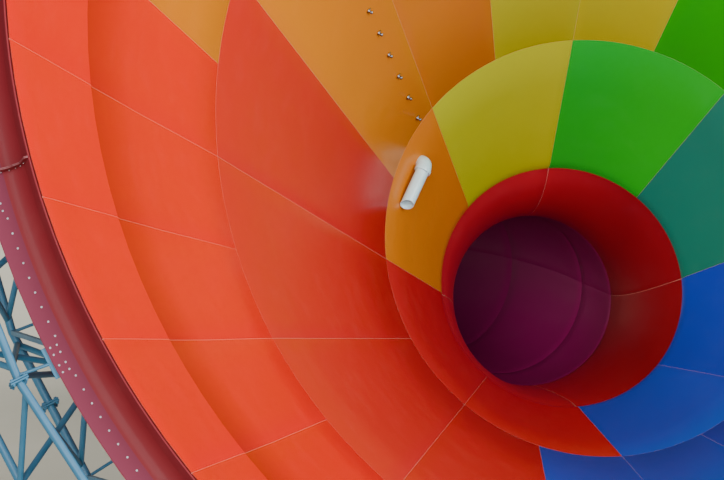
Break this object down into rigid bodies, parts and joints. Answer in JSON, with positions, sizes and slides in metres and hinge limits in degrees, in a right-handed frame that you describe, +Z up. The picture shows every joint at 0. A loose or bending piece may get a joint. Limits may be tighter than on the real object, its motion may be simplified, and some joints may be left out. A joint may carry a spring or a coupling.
{
  "type": "funnel water slide",
  "caption": "Giant leaning funnel of coloured fibreglass panels with a rolled lip, held by a tubular steel ring truss and columns, that narrows into a curved exit tunnel.",
  "frame": {"origin": "on the ground, under the middle of the whole slide's box", "axes": "+Z up; the open mouth faces -Y and upward, the exit tunnel runs towards +Y and turns to -X; +X is to the right as seen from in front of the mouth"},
  "size_m": [20.9038, 25.5336, 20.2526],
  "materials": {
    "panel_red": "glossy gelcoat on fibreglass",
    "panel_orange": "glossy gelcoat on fibreglass",
    "panel_yellow": "glossy gelcoat on fibreglass",
    "panel_green": "glossy gelcoat on fibreglass",
    "panel_teal": "glossy gelcoat on fibreglass",
    "panel_blue": "glossy gelcoat on fibreglass",
    "panel_dark_blue": "glossy gelcoat on fibreglass",
    "lip_maroon": "satin gelcoat on fibreglass",
    "tunnel_red": "glossy gelcoat on fibreglass",
    "steel_blue": "semi-gloss paint over galvanised steel tube",
    "pipe_white": "satin white plastic pipe",
    "spray_grey": "brushed stainless tube and nozzles"
  },
  "bodies": {
    "root": {"outer_panels_1": "panel_orange", "outer_panels_2": "panel_yellow", "outer_panels_3": "panel_green", "outer_panels_4": "panel_teal", "outer_panels_5": "panel_blue", "outer_panels_6": "panel_dark_blue", "outer_panels_7": "panel_red", "outer_panels_8": "panel_red", "middle_panels_1": "panel_orange", "middle_panels_2": "panel_yellow", "middle_panels_3": "panel_green", "middle_panels_4": "panel_teal", "middle_panels_5": "panel_blue", "middle_panels_6": "panel_dark_blue", "middle_panels_7": "panel_red", "middle_panels_8": "panel_red", "throat_panel_1": "panel_orange", "throat_panel_2": "panel_yellow", "throat_panel_3": "panel_green", "throat_panel_4": "panel_teal", "throat_panel_5": "panel_blue", "throat_panel_6": "panel_dark_blue", "throat_panel_7": "panel_red", "throat_panel_8": "panel_red", "lip_1": "lip_maroon", "lip_2": "lip_maroon", "lip_3": "lip_maroon", "lip_4": "lip_maroon", "lip_5": "lip_maroon", "lip_6": "lip_maroon", "lip_7": "lip_maroon", "lip_8": "lip_maroon", "exit_bell_1": "tunnel_red", "exit_bell_2": "tunnel_red", "exit_bell_3": "tunnel_red", "exit_bell_4": "tunnel_red", "tunnel_1_upper": "tunnel_red", "tunnel_1_lower": "tunnel_red", "tunnel_2_upper": "tunnel_red", "tunnel_2_lower": "tunnel_red", "tunnel_3_upper": "tunnel_red", "tunnel_3_lower": "tunnel_red", "ring_truss_1": "steel_blue", "ring_truss_2": "steel_blue", "ring_truss_3": "steel_blue", "ring_truss_4": "steel_blue", "front_left_columns": "steel_blue", "front_right_columns": "steel_blue", "middle_cradle": "steel_blue", "throat_cradle": "steel_blue", "tunnel_cradle_1": "steel_blue", "tunnel_cradle_2": "steel_blue", "jet_pipe": "pipe_white", "spray_bar": "spray_grey"}
  },
  "joints": []
}
